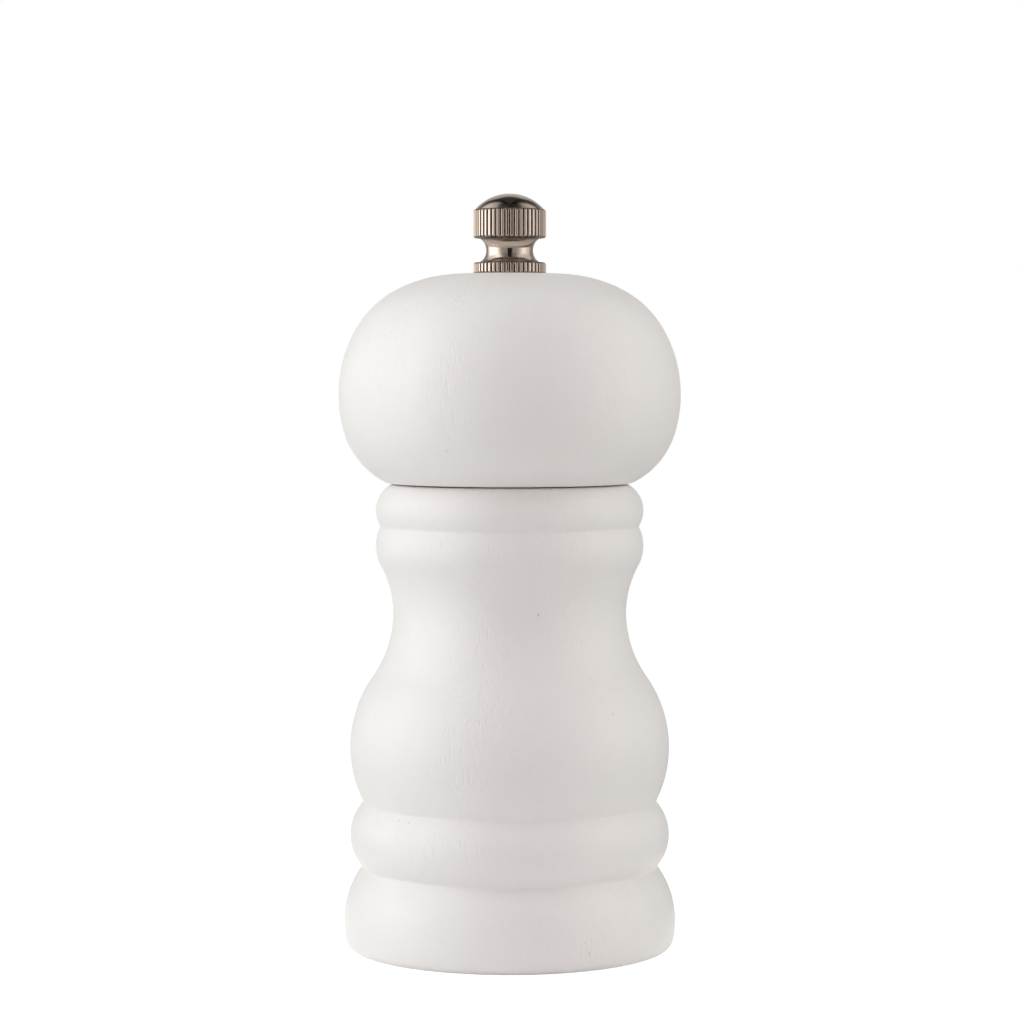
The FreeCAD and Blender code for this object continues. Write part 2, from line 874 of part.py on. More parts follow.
# The spring is one wire swept through arcs of a quarter turn each, from the core to the washer.
def make_spring():
    wire = sheet.wire_radius
    coil = coil_radius.number
    quarters = int(sheet.coil_turns) * 4
    low = core_top.number + wire + sheet.spring_seat_gap
    high = thrust_bottom.number - wire - sheet.spring_seat_gap

    def on_helix(quarter):
        turn = quarter * math.pi / 2
        height = low + (high - low) * quarter / quarters
        return FreeCAD.Vector(coil * math.cos(turn), coil * math.sin(turn), height)

    edges = [
        Part.Arc(on_helix(step), on_helix(step + 0.5), on_helix(step + 1)).toShape()
        for step in range(quarters)
    ]
    path = Part.Wire(edges)
    start = Part.Wire(Part.makeCircle(wire, on_helix(0), edges[0].tangentAt(edges[0].FirstParameter)))
    sweep = Part.BRepOffsetAPI.MakePipeShell(path)
    sweep.add(start)
    sweep.build()
    sweep.makeSolid()
    feature = doc.addObject("Part::Feature", "spring")
    feature.Label = "spring"
    feature.Shape = sweep.shape()
    swept = math.pi * wire ** 2 * path.Length
    least = (high - low) / sheet.coil_turns - 2 * wire
    print(f"spring volume {feature.Shape.Volume:.2f}, section by length {swept:.2f}")
    print(f"least gap between turns {least:.2f}")
    return feature


pieces = [
    make_mill_body(),
    make_grinder_housing(),
    make_screws(
        "housing_screws",
        flange_bottom,
        housing_circle,
        size("housing_screw_length"),
        size("housing_screw_count"),
    ),
    make_stator_ring(),
    make_stator_retainer(),
    make_shaft_bridge(),
    make_bridge_bush(),
    make_thrust_washer(),
    make_spring(),
    make_shaft(),
    make_rotor(),
    make_rotor_core(),
    make_rotor_washer(),
    make_shaft_nut(),
    make_mill_head(),
    make_drive_plate(),
    make_screws(
        "drive_plate_screws",
        spigot_bottom,
        plate_circle,
        size("plate_screw_length"),
        size("plate_screw_count"),
    ),
    make_knob(),
]
doc.recompute()

for item in doc.Objects:
    if "Invalid" in item.State or "Error" in item.State:
        raise RuntimeError(f"{item.Name} failed: {item.State}")

for piece in pieces:
    shape = piece.Shape
    if shape.isNull() or not shape.isValid():
        raise RuntimeError(f"{piece.Label} has no valid shape")
    solids = shape.Solids
    print(f"{piece.Label}: {len(solids)} solids, {shape.Volume:.1f} mm3")
    shape.exportStep(f"parts/{piece.Label}.step")
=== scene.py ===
import bmesh
import bpy
import math
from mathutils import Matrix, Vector


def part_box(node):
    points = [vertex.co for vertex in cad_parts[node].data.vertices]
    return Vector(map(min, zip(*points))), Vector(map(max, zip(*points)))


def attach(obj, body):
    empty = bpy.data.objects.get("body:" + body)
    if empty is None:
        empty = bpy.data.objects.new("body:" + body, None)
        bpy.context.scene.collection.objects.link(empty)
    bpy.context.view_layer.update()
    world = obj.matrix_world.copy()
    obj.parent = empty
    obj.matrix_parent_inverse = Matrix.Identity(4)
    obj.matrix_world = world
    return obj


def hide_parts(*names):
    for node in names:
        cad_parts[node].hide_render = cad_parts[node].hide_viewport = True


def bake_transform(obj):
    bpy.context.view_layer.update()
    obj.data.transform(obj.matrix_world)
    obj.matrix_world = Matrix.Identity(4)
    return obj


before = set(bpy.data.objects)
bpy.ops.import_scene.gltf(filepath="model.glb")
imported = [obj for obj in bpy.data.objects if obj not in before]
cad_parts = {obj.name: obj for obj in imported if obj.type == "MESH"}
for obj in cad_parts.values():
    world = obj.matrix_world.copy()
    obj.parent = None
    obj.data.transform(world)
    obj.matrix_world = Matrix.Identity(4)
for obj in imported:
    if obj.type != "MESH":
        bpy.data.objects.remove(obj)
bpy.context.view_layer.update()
mm = 0.001  # outlines below are in millimetres, meshes in metres
touching = 0.0001  # two points of an outline closer than this are one
print("frame loaded with", len(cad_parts), "parts")


# Small helpers for node trees.
def addNode(tree, kind, inputs=None, **settings):
    node = tree.nodes.new(kind)
    for key, value in settings.items():
        setattr(node, key, value)
    for key, value in (inputs or {}).items():
        if isinstance(value, bpy.types.NodeSocket):
            tree.links.new(value, node.inputs[key])
        else:
            node.inputs[key].default_value = value
    return node


def addRamp(tree, factor, stops):
    ramp = addNode(tree, "ShaderNodeValToRGB", {"Fac": factor})
    elements = ramp.color_ramp.elements
    while len(elements) < len(stops):
        elements.new(0.5)
    for element, (place, level) in zip(elements, stops):
        element.position = place
        element.color = (level, level, level, 1)
    return ramp.outputs["Color"]


def addMath(tree, operation, *values, clamp=False):
    inputs = dict(enumerate(values))
    return addNode(tree, "ShaderNodeMath", inputs, operation=operation, use_clamp=clamp).outputs[0]


def mixColours(tree, factor, first, second):
    inputs = {0: factor, 6: first, 7: second}
    return addNode(tree, "ShaderNodeMix", inputs, data_type="RGBA").outputs[2]


def distanceTo(tree, across, up):
    both = addNode(tree, "ShaderNodeCombineXYZ", {0: across, 1: up, 2: 0.0}).outputs[0]
    return addNode(tree, "ShaderNodeVectorMath", {0: both}, operation="LENGTH").outputs["Value"]


def stretchedNoise(tree, size, offset, detail=3.0):
    # features of that size in millimetres, first across the mill and then up it
    across, along = size
    where = addNode(tree, "ShaderNodeTexCoord").outputs["Object"]
    scale = (1 / (across * mm), 1 / (across * mm), 1 / (along * mm))
    place = addNode(
        tree,
        "ShaderNodeMapping",
        {"Vector": where, "Scale": scale, "Location": (offset, offset * 0.7, offset * 1.3)},
    )
    noise = addNode(
        tree,
        "ShaderNodeTexNoise",
        {"Vector": place.outputs[0], "Scale": 1.0, "Detail": detail},
    )
    return noise.outputs["Fac"]


def newGroup(name, inputs, outputs):
    group = bpy.data.node_groups.new(name, "ShaderNodeTree")
    for label, default in inputs.items():
        socket = group.interface.new_socket(name=label, in_out="INPUT", socket_type="NodeSocketFloat")
        socket.default_value = default
    for label in outputs:
        group.interface.new_socket(name=label, in_out="OUTPUT", socket_type="NodeSocketFloat")
    source = group.nodes.new("NodeGroupInput")
    result = group.nodes.new("NodeGroupOutput")
    return group, source, result


# Lengthwise grain of turned wood: fine pressed lines, and a few short open pores.
def makeGrainGroup():
    grain = {
        # sizes across and along the grain in millimetres, then where each mask begins and is full
        "lines": (0.42, 2.2),
        "lineMask": [(0.52, 0.0), (0.7, 1.0)],
        "zones": (9.0, 26.0),
        "zoneMask": [(0.38, 0.15), (0.58, 1.0)],
        "specks": (0.3, 1.1),
        "speckMask": [(0.815, 0.0), (0.835, 1.0)],
        "clusters": (6.0, 12.0),
        "clusterMask": [(0.68, 0.0), (0.71, 1.0)],
        "patches": (14.0, 30.0),
        "poreDepth": 2.0,  # against a line's depth of 1
        "patchHeight": 0.4,
    }
    group, source, result = newGroup(
        "turnedGrain", {"Lines": 1.0, "Pores": 1.0, "Unevenness": 1.0}, ["Height", "Pore", "Patch"]
    )
    lines = stretchedNoise(group, grain["lines"], 3.1, detail=2.0)
    zones = stretchedNoise(group, grain["zones"], 7.7, detail=1.0)
    lineMask = addRamp(group, lines, grain["lineMask"])
    inZones = addMath(group, "MULTIPLY", lineMask, addRamp(group, zones, grain["zoneMask"]))
    pressed = addMath(group, "MULTIPLY", inZones, source.outputs["Lines"])
    specks = stretchedNoise(group, grain["specks"], 11.3, detail=0.0)
    clusters = stretchedNoise(group, grain["clusters"], 5.2, detail=1.0)
    speckMask = addRamp(group, specks, grain["speckMask"])
    inClusters = addMath(group, "MULTIPLY", speckMask, addRamp(group, clusters, grain["clusterMask"]))
    pore = addMath(group, "MULTIPLY", inClusters, source.outputs["Pores"])
    patch = addMath(group, "SUBTRACT", stretchedNoise(group, grain["patches"], 1.9, detail=2.0), 0.5)
    uneven = addMath(group, "MULTIPLY", patch, source.outputs["Unevenness"])
    dips = addMath(group, "MULTIPLY_ADD", pore, grain["poreDepth"], pressed)
    height = addMath(group, "SUBTRACT", addMath(group, "MULTIPLY", uneven, grain["patchHeight"]), dips)
    group.links.new(height, result.inputs["Height"])
    group.links.new(pore, result.inputs["Pore"])
    group.links.new(uneven, result.inputs["Patch"])
    return group


# Drifting smears and tiny flecks that break up a smooth surface.
def makeSmudgeGroup():
    smudge = {"detail": 4.0, "distortion": 0.6, "fleckDetail": 2.0, "flecksPerSmear": 9.0}
    group, source, result = newGroup("smudges", {"Size": 3.0, "Amount": 1.0}, ["Smear", "Fleck"])
    where = addNode(group, "ShaderNodeTexCoord").outputs["Object"]
    large = addMath(group, "DIVIDE", 1 / mm, source.outputs["Size"])
    small = addMath(group, "MULTIPLY", large, smudge["flecksPerSmear"])
    broad = {"Vector": where, "Scale": large, "Detail": smudge["detail"], "Distortion": smudge["distortion"]}
    smear = addNode(group, "ShaderNodeTexNoise", broad)
    fine = addNode(
        group, "ShaderNodeTexNoise", {"Vector": where, "Scale": small, "Detail": smudge["fleckDetail"]}
    )
    centred = addMath(group, "SUBTRACT", smear.outputs["Fac"], 0.5)
    group.links.new(addMath(group, "MULTIPLY", centred, source.outputs["Amount"]), result.inputs["Smear"])
    fleck = addMath(group, "SUBTRACT", fine.outputs["Fac"], 0.5)
    group.links.new(addMath(group, "MULTIPLY", fleck, source.outputs["Amount"]), result.inputs["Fleck"])
    return group


grainGroup = makeGrainGroup()
smudgeGroup = makeSmudgeGroup()
print("shader groups ready")


def newMaterial(name, colour, roughness, **settings):
    material = bpy.data.materials.new(name)
    material.use_nodes = True
    tree = material.node_tree
    shader = tree.nodes["Principled BSDF"]
    shader.inputs["Base Color"].default_value = (*colour, 1)
    shader.inputs["Roughness"].default_value = roughness
    for key, value in settings.items():
        shader.inputs[key].default_value = value
    return material, tree, shader


def placeGroup(tree, group, **inputs):
    node = addNode(tree, "ShaderNodeGroup", node_tree=group)
    for key, value in inputs.items():
        node.inputs[key].default_value = value
    return node.outputs


def bumpInto(tree, shader, height, depth):
    bump = addNode(tree, "ShaderNodeBump", {"Height": height, "Distance": depth * mm, "Strength": 1.0})
    tree.links.new(bump.outputs["Normal"], shader.inputs["Normal"])


def paintMaterial():
    paint = {
        "colour": (0.9, 0.867, 0.862),
        "shade": (0.876, 0.84, 0.834),  # where the coat is thinner
        "pore": (0.33, 0.3, 0.27),
        "patchContrast": 1.6,
        "roughness": 0.46,
        "specular": 0.42,
        "grainDepth": 0.03,
    }
    material, tree, shader = newMaterial("whitePaint", paint["colour"], paint["roughness"])
    shader.inputs["Specular IOR Level"].default_value = paint["specular"]
    grain = placeGroup(tree, grainGroup, Lines=1.5, Pores=0.8, Unevenness=1.0)
    tone = addMath(tree, "MULTIPLY_ADD", grain["Patch"], paint["patchContrast"], 0.5, clamp=True)
    coat = mixColours(tree, tone, (*paint["shade"], 1), (*paint["colour"], 1))
    coloured = mixColours(tree, grain["Pore"], coat, (*paint["pore"], 1))
    tree.links.new(coloured, shader.inputs["Base Color"])
    smudge = placeGroup(tree, smudgeGroup, Size=7.0, Amount=0.16)
    rough = addMath(tree, "ADD", smudge["Smear"], paint["roughness"])
    tree.links.new(rough, shader.inputs["Roughness"])
    bumpInto(tree, shader, grain["Height"], paint["grainDepth"])
    return material


def beechMaterial():
    beech = {
        "pale": (0.66, 0.45, 0.27),
        "dark": (0.52, 0.32, 0.17),
        "fleck": (0.36, 0.2, 0.1),
        "streakSize": (0.35, 14.0),
        "streakMask": [(0.45, 0.0), (0.75, 0.55)],
        "fleckSize": (0.28, 1.8),
        "fleckMask": [(0.7, 0.0), (0.76, 0.8)],
        "roughness": 0.62,
        "specular": 0.3,
        "grainDepth": 0.03,
        "pithPlace": (0.031, -0.012, 0.0),  # the blank was cut beside the middle of the tree
        "ringWidth": 2.3,
        "wavePeriod": 0.314,  # of the ring texture at a scale of 1
    }
    material, tree, shader = newMaterial("bareBeech", beech["pale"], beech["roughness"])
    shader.inputs["Specular IOR Level"].default_value = beech["specular"]
    where = addNode(tree, "ShaderNodeTexCoord").outputs["Object"]
    fromPith = addNode(tree, "ShaderNodeMapping", {"Vector": where, "Location": beech["pithPlace"]})
    rings = addNode(
        tree,
        "ShaderNodeTexWave",
        {
            "Vector": fromPith.outputs[0],
            "Scale": beech["wavePeriod"] / (beech["ringWidth"] * mm),
            "Distortion": 1.4,
            "Detail": 2.0,
            "Detail Scale": 0.4,
        },
        wave_type="RINGS",
        rings_direction="Z",
        wave_profile="SAW",
    )
    band = mixColours(tree, rings.outputs["Fac"], (*beech["pale"], 1), (*beech["dark"], 1))
    streak = addRamp(tree, stretchedNoise(tree, beech["streakSize"], 2.3), beech["streakMask"])
    streaked = mixColours(tree, streak, band, (*beech["dark"], 1))
    flecks = stretchedNoise(tree, beech["fleckSize"], 8.8, detail=0.0)
    fleckMask = addRamp(tree, flecks, beech["fleckMask"])
    flecked = mixColours(tree, fleckMask, streaked, (*beech["fleck"], 1))
    tree.links.new(flecked, shader.inputs["Base Color"])
    grain = placeGroup(tree, grainGroup, Lines=1.0, Pores=1.0, Unevenness=0.6)
    bumpInto(tree, shader, grain["Height"], beech["grainDepth"])
    return material


def metalMaterial(name, colour, roughness, smear=0.12, smearSize=2.5, dirtAndShade=None):
    metal = {"darkest": 0.8, "fleckContrast": 0.5, "flaw": 0.004}
    # darker, rougher, duller metal where the mask lies: partly grime, partly painted shade
    cakedAndShaded = {"colour": (0.05, 0.038, 0.029), "rougher": 0.4, "duller": 0.6}
    material, tree, shader = newMaterial(name, colour, roughness, Metallic=1.0)
    smudge = placeGroup(tree, smudgeGroup, Size=smearSize, Amount=1.0)
    rough = addMath(tree, "MULTIPLY_ADD", smudge["Smear"], smear, roughness, clamp=True)
    tone = addMath(tree, "MULTIPLY_ADD", smudge["Fleck"], metal["fleckContrast"], 0.5, clamp=True)
    darker = tuple(channel * metal["darkest"] for channel in colour)
    coloured = mixColours(tree, tone, (*darker, 1), (*colour, 1))
    if dirtAndShade:
        mask = dirtAndShade(tree)
        # the mask paints grime and shade into the colour: darker in the knurl grooves and at the neck's
        # corners
        coloured = mixColours(tree, mask, coloured, (*cakedAndShaded["colour"], 1))
        rough = addMath(tree, "MULTIPLY_ADD", mask, cakedAndShaded["rougher"], rough, clamp=True)
        clean = addMath(tree, "MULTIPLY_ADD", mask, -cakedAndShaded["duller"], 1.0)
        tree.links.new(clean, shader.inputs["Metallic"])
    tree.links.new(coloured, shader.inputs["Base Color"])
    tree.links.new(rough, shader.inputs["Roughness"])
    bumpInto(tree, shader, smudge["Fleck"], metal["flaw"])
    return material


def plasticMaterial():
    plastic = {
        "colour": (0.045, 0.045, 0.048),
        "dark": (0.036, 0.036, 0.038),
        "light": (0.06, 0.059, 0.058),
        "toneContrast": 0.9,
        "roughness": 0.5,
        "roughContrast": 0.25,
        "sparkDepth": 0.03,
    }
    material, tree, shader = newMaterial("charcoalPlastic", plastic["colour"], plastic["roughness"])
    spark = placeGroup(tree, smudgeGroup, Size=0.5, Amount=1.0)
    smear = placeGroup(tree, smudgeGroup, Size=6.0, Amount=1.0)["Smear"]
    tone = addMath(tree, "MULTIPLY_ADD", smear, plastic["toneContrast"], 0.5, clamp=True)
    coloured = mixColours(tree, tone, (*plastic["dark"], 1), (*plastic["light"], 1))
    tree.links.new(coloured, shader.inputs["Base Color"])
    rough = addMath(tree, "MULTIPLY_ADD", smear, plastic["roughContrast"], plastic["roughness"], clamp=True)
    tree.links.new(rough, shader.inputs["Roughness"])
    bumpInto(tree, shader, spark["Smear"], plastic["sparkDepth"])
    return material


def ceramicMaterial():
    ceramic = {
        "colour": (0.83, 0.81, 0.76),
        "stained": (0.76, 0.73, 0.66),
        "clean": (0.87, 0.85, 0.81),
        "speck": (0.68, 0.65, 0.58),
        "stainContrast": 1.4,
        "speckContrast": 2.0,
        "speckShare": 0.1,
        "roughness": 0.55,
        "gritDepth": 0.04,
    }
    material, tree, shader = newMaterial("firedCeramic", ceramic["colour"], ceramic["roughness"])
    grit = placeGroup(tree, smudgeGroup, Size=0.7, Amount=1.0)
    stain = placeGroup(tree, smudgeGroup, Size=5.0, Amount=1.0)
    tone = addMath(tree, "MULTIPLY_ADD", stain["Smear"], ceramic["stainContrast"], 0.5, clamp=True)
    coloured = mixColours(tree, tone, (*ceramic["stained"], 1), (*ceramic["clean"], 1))
    specks = addMath(
        tree, "MULTIPLY_ADD", grit["Fleck"], ceramic["speckContrast"], ceramic["speckShare"], clamp=True
    )
    specked = mixColours(tree, specks, coloured, (*ceramic["speck"], 1))
    tree.links.new(specked, shader.inputs["Base Color"])
    bumpInto(tree, shader, grit["Smear"], ceramic["gritDepth"])
    return material


# Grime and painted shade in the knurled grooves of the knob, and where its neck meets the two rims: a dark
# mask partly for real grime, partly for the shade in these hollows and corners.
def knobGrimeAndShade(tree, grooveRadii, cornerRadius, cornerHeights, spread):
    thick = {"core": 0.25, "patches": (0.8, 0.8), "patchMask": [(0.3, 0.55), (0.6, 1.0)]}
    where = addNode(tree, "ShaderNodeTexCoord").outputs["Object"]
    place = addNode(tree, "ShaderNodeSeparateXYZ", {0: where}).outputs
    radius = distanceTo(tree, place[0], place[1])

    def fade(value, nothing, full):
        ends = {"Value": value, "From Min": nothing * mm, "From Max": full * mm}
        return addNode(tree, "ShaderNodeMapRange", ends).outputs[0]

    # in the grooves only between their bottom and their crest, so that dome and neck stay clean
    crest, dark, bottom, clean = grooveRadii
    # painted shade and grime between the groove's bottom and crest
    grimeAndShade = addMath(tree, "MULTIPLY", fade(radius, crest, dark), fade(radius, clean, bottom))
    across = addMath(tree, "SUBTRACT", radius, cornerRadius * mm)
    # painted shade and grime in the neck's corners, under the drum and above the flange
    for height in cornerHeights:
        above = addMath(tree, "SUBTRACT", place[2], height * mm)
        away = distanceTo(tree, across, above)
        grimeAndShade = addMath(tree, "MAXIMUM", grimeAndShade, fade(away, spread, spread * thick["core"]))
    patchy = addRamp(tree, stretchedNoise(tree, thick["patches"], 4.4), thick["patchMask"])
    return addMath(tree, "MULTIPLY", grimeAndShade, patchy)


whitePaint = paintMaterial()
bareBeech = beechMaterial()
zincSteel = metalMaterial("zincSteel", (0.66, 0.65, 0.62), 0.3, smear=0.25)
drawnBar = metalMaterial("drawnAluminium", (0.72, 0.72, 0.71), 0.34, smear=0.2, smearSize=1.4)
charcoalPlastic = plasticMaterial()
firedCeramic = ceramicMaterial()
print("materials ready")


# Outlines are lists of corners, radius then height. A run can be an arc through a point,
# a corner is softened by its ease, and each run carries the number of its finish.
def corner(radius, height, through=None, ease=0.25, finish=0):
    return {"at": Vector((radius, height)), "through": through, "ease": ease, "finish": finish}


def circleThrough(first, middle, last):
    ax, ay, bx, by, cx, cy = *first, *middle, *last
    spread = 2 * (ax * (by - cy) + bx * (cy - ay) + cx * (ay - by))
    a, b, c = ax * ax + ay * ay, bx * bx + by * by, cx * cx + cy * cy
    return Vector((
        (a * (by - cy) + b * (cy - ay) + c * (ay - by)) / spread,
        (a * (cx - bx) + b * (ax - cx) + c * (bx - ax)) / spread,
    ))


def runPoints(start, through, end, spacing):
    if through is None:
        return [start, end]
    middle = Vector(through)
    centre = circleThrough(start, middle, end)
    radius = (start - centre).length
    begin = math.atan2(start.y - centre.y, start.x - centre.x)
    finish = math.atan2(end.y - centre.y, end.x - centre.x)
    left = (middle - start).cross(end - middle) > 0
    swing = (finish - begin) % (2 * math.pi) if left else -((begin - finish) % (2 * math.pi))
    count = max(3, math.ceil(abs(swing) * radius / spacing))
    return [
        centre + radius * Vector((math.cos(begin + swing * i / count), math.sin(begin + swing * i / count)))
        for i in range(count + 1)
    ]


def shortened(points, cut):
    # the run without its first `cut` millimetres
    points = list(points)
    while len(points) > 1:
        step = points[1] - points[0]
        if step.length > cut + 1e-6:
            return [points[0] + step * (cut / step.length), *points[1:]]
        cut -= step.length
        points.pop(0)
    return points


def softRun(points, easeStart, easeEnd):
    length = sum((b - a).length for a, b in zip(points, points[1:]))
    points = shortened(points, min(easeStart, length * 0.45))
    points = shortened(points[::-1], min(easeEnd, length * 0.45))
    return points[::-1]


def drawOutline(corners, spacing):
    easeSteps = 4
    runs = []
    for index, here in enumerate(corners):
        before = corners[index - 1]
        points = runPoints(before["at"], here["through"], here["at"], spacing)
        runs.append(softRun(points, before["ease"], here["ease"]))
    outline = []
    for index, (here, run) in enumerate(zip(corners, runs)):
        outline += [(point, here["finish"]) for point in run]
        after = runs[(index + 1) % len(runs)][0]
        if here["ease"] > 0:
            for step in range(1, easeSteps):
                t = step / easeSteps
                bend = run[-1] * (1 - t) ** 2 + here["at"] * 2 * t * (1 - t) + after * t * t
                outline.append((bend, here["finish"]))
    return [
        spot for index, spot in enumerate(outline) if (spot[0] - outline[index - 1][0]).length > touching
    ]


# Shapes are gathered as rings of points, and joined ring to ring.
def newShape():
    return {"points": [], "faces": [], "finishes": []}


def addRings(shape, rings, finishes, loop=False, capped=False):
    starts = []
    for ring in rings:
        starts.append(len(shape["points"]))
        shape["points"] += ring
    pairs = list(zip(range(len(rings)), range(1, len(rings))))
    if loop:
        pairs.append((len(rings) - 1, 0))
    for low, high in pairs:
        a, b = starts[low], starts[high]
        countA, countB = len(rings[low]), len(rings[high])
        turns = max(countA, countB)
        for i in range(turns):
            j = (i + 1) % turns
            if countB == 1:
                face = (a + i, a + j, b)
            elif countA == 1:
                face = (a, b + j, b + i)
            else:
                face = (a + i, a + j, b + j, b + i)
            shape["faces"].append(face)
            shape["finishes"].append(finishes[high])
    if capped:
        shape["faces"].append(tuple(range(starts[0], starts[0] + len(rings[0])))[::-1])
        shape["faces"].append(tuple(range(starts[-1], starts[-1] + len(rings[-1]))))
        shape["finishes"] += [finishes[0], finishes[-1]]


def makePiece(name, shape, materials, sharp=40):
    mesh = bpy.data.meshes.new(name)
    mesh.from_pydata([point * mm for point in shape["points"]], [], shape["faces"])
    mesh.polygons.foreach_set("material_index", shape["finishes"])
    work = bmesh.new()
    work.from_mesh(mesh)
    bmesh.ops.recalc_face_normals(work, faces=work.faces)
    work.to_mesh(mesh)
    work.free()
    for material in materials:
        mesh.materials.append(material)
    mesh.shade_smooth()
    mesh.set_sharp_from_angle(angle=math.radians(sharp))
    piece = bpy.data.objects.new(name, mesh)
    bpy.context.scene.collection.objects.link(piece)
    return piece


def turnedRings(outline, turns, radiusAt):
    rings = []
    for point, _ in outline:
        if point.x < touching:
            rings.append([Vector((0.0, 0.0, point.y))])
            continue
        ring = []
        for turn in range(turns):
            angle = 2 * math.pi * turn / turns
            radius = radiusAt(point, angle) if radiusAt else point.x
            ring.append(Vector((radius * math.cos(angle), radius * math.sin(angle), point.y)))
        rings.append(ring)
    return rings


def turnPiece(name, corners, turns, materials, radiusAt=None, spacing=0.4):
    outline = drawOutline(corners, spacing)
    # an outline that meets the axis stops there, and any other closes on itself
    onAxis = [index for index, (point, _) in enumerate(outline) if point.x < touching]
    if onAxis:
        first = (onAxis[0] + 1) % len(outline) if len(onAxis) == 2 else onAxis[0]
        outline = outline[first:] + outline[:first]
    shape = newShape()
    rings = turnedRings(outline, turns, radiusAt)
    addRings(shape, rings, [finish for _, finish in outline], loop=not onAxis)
    return makePiece(name, shape, materials)


def beadCorners(beads, height, ease, finish):
    # each bead: the radius and rise of its fullest place, then of the corner where it ends
    corners = []
    for middleRadius, middleRise, endRadius, endRise in beads:
        middleHeight = height + middleRise
        height = middleHeight + endRise
        corners.append(corner(endRadius, height, (middleRadius, middleHeight), ease, finish))
    return corners


# Turned body: painted outside, bare inside and under the foot.
def makeBody():
    body = {
        "footFlat": 25.95,
        "footRound": (27.96, 1.42),
        "beads": [
            (27.85, 6.7, 25.05, 5.78),
            (27.16, 5.44, 24.9, 5.49),
            (27.17, 9.38, 23.39, 11.84),
            (21.04, 4.44, 19.88, 5.15),
            (20.14, 4.68, 21.84, 4.71),
            (22.7, 3.37, 21.9, 3.32),
            (22.68, 3.17, 19.99, 3.97),
        ],
        "recess": (20.0, 12.0),
        "chamber": 13.5,
        "socket": (15.5, 10.0),
        "paintUnderFoot": 1.2,  # how far the paint comes in under the foot
        "grooveEase": 0.35,
        "turns": 288,
    }
    painted, bare = 0, 1
    toe, toeHeight = body["footRound"]
    flat = body["footFlat"]
    eighth = math.sqrt(0.5)
    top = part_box("mill_body")[1].z / mm
    recess, recessDepth = body["recess"]
    socket, socketDepth = body["socket"]
    through = (flat + (toe - flat) * eighth, toeHeight * (1 - eighth))
    corners = [
        corner(recess, 0.0, ease=0.5, finish=bare),
        corner(flat - body["paintUnderFoot"], 0.0, ease=0.0, finish=bare),
        corner(flat, 0.0, ease=0.3, finish=painted),
        corner(toe, toeHeight, through, ease=0.3, finish=painted),
        *beadCorners(body["beads"], toeHeight, body["grooveEase"], painted),
        corner(socket, top, ease=0.35, finish=painted),
        corner(socket, top - socketDepth, ease=0.3, finish=bare),
        corner(body["chamber"], top - socketDepth, ease=0.3, finish=bare),
        corner(body["chamber"], recessDepth, ease=0.3, finish=bare),
        corner(recess, recessDepth, ease=0.4, finish=bare),
    ]
    piece = turnPiece("millBodyTurning", corners, body["turns"], [whitePaint, bareBeech])
    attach(piece, "mill_base")
    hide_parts("mill_body")


# Turned head with its spigot, its through bore and the pocket of the drive plate.
def makeHead():
    head = {
        "edge": 20.74,
        "beads": [
            (25.32, 3.52, 28.03, 4.98),
            (28.98, 6.41, 26.02, 11.17),
            (22.43, 4.37, 18.5, 2.57),
            (13.1, 1.82, 8.5, 0.51),
        ],
        "spigot": 15.3,
        "bore": 3.9,
        "pocket": (11.1, 1.2),
        "seamGap": 0.2,
        "beadEase": 0.3,
        "turns": 288,
    }
    painted, bare = 0, 1
    bottom, top = (point.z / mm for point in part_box("mill_head"))
    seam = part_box("mill_body")[1].z / mm + head["seamGap"]
    pocket, pocketDepth = head["pocket"]
    corners = [
        corner(pocket, bottom, ease=0.2, finish=bare),
        corner(head["spigot"], bottom, ease=0.8, finish=bare),
        corner(head["spigot"], seam, ease=0.0, finish=bare),
        corner(head["edge"], seam, ease=0.35, finish=painted),
        *beadCorners(head["beads"], seam, head["beadEase"], painted),
        corner(head["bore"], top, ease=0.3, finish=painted),
        corner(head["bore"], bottom + pocketDepth, ease=0.2, finish=bare),
        corner(pocket, bottom + pocketDepth, ease=0.15, finish=bare),
    ]
    piece = turnPiece("millHeadTurning", corners, head["turns"], [whitePaint, bareBeech])
    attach(piece, "head_assembly")
    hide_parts("mill_head")


